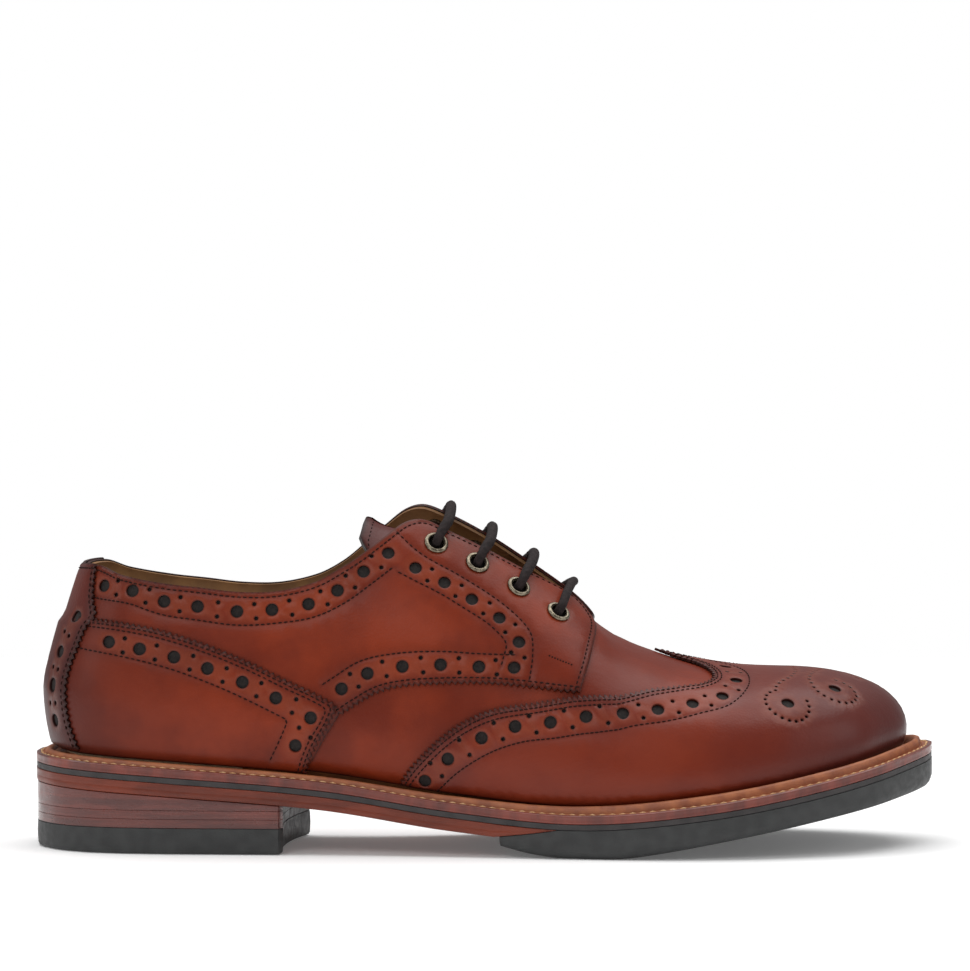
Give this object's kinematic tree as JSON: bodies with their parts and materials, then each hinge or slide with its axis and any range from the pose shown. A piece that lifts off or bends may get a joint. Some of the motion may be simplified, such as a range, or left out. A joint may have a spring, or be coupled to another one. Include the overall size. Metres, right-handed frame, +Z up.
{
  "type": "derby shoe",
  "caption": "Right leather derby brogue shoe: laced quarters over the vamp, stitched welt, stacked heel, rubber forepart and heel, hollow for a foot, with a tongue that bends in.",
  "frame": {"origin": "on the ground under the middle of the sole's length and width", "axes": "+X to the toe, +Y to the inner (medial) side of the foot, +Z up; the sole's length lies along X"},
  "size_m": [0.3, 0.1041, 0.1134],
  "materials": {
    "rubber": "matte moulded rubber",
    "mid_rubber": "matte rubber edge",
    "sole_leather": "waxed and burnished leather edge",
    "welt_leather": "natural tan welting, satin",
    "heel_leather": "stacked leather, waxed",
    "insole_leather": "smooth veg-tan leather",
    "cork": "granulated cork",
    "steel": "spring steel",
    "nail_brass": "plain brass",
    "upper_leather": "burnished chestnut calf, soft gloss",
    "toe_leather": "burnished dark chestnut calf, polished",
    "lining_leather": "tan calf lining, matt",
    "stiffener_board": "stiffened leather board",
    "eyelet_brass": "antique brass",
    "lace_cotton": "waxed round cotton lace",
    "aglet_plastic": "dark film tip"
  },
  "bodies": {
    "shoe": {"outsole_forepart": "rubber", "midlayer": "mid_rubber", "waist_layer": "sole_leather", "welt": "welt_leather", "heel_lift_1": "heel_leather", "heel_lift_2": "heel_leather", "heel_lift_3": "heel_leather", "heel_top_piece": "rubber", "heel_nails": "nail_brass", "insole": "insole_leather", "insole_rib": "stiffener_board", "cork_filler": "cork", "shank": "steel", "heel_pad": "lining_leather", "vamp": "upper_leather", "wing_cap": "toe_leather", "toe_puff": "stiffener_board", "vamp_lining": "lining_leather", "quarter_lateral": "upper_leather", "quarter_medial": "upper_leather", "counter_lateral": "upper_leather", "counter_medial": "upper_leather", "back_strap": "upper_leather", "heel_stiffener": "stiffener_board", "quarter_lining_lateral": "lining_leather", "quarter_lining_medial": "lining_leather", "eyelets_lateral": "eyelet_brass", "eyelets_medial": "eyelet_brass", "lace": "lace_cotton", "aglets": "aglet_plastic"},
    "tongue": {"tongue": "upper_leather"}
  },
  "joints": [
    {"name": "tongue_flex", "type": "hinge", "parent": "shoe", "child": "tongue", "pos_m": [0.033, 0.008, 0.066], "axis": [0, -1, 0], "range_deg": [0, 12], "stiffness_Nm_per_rad": 0.25}
  ]
}
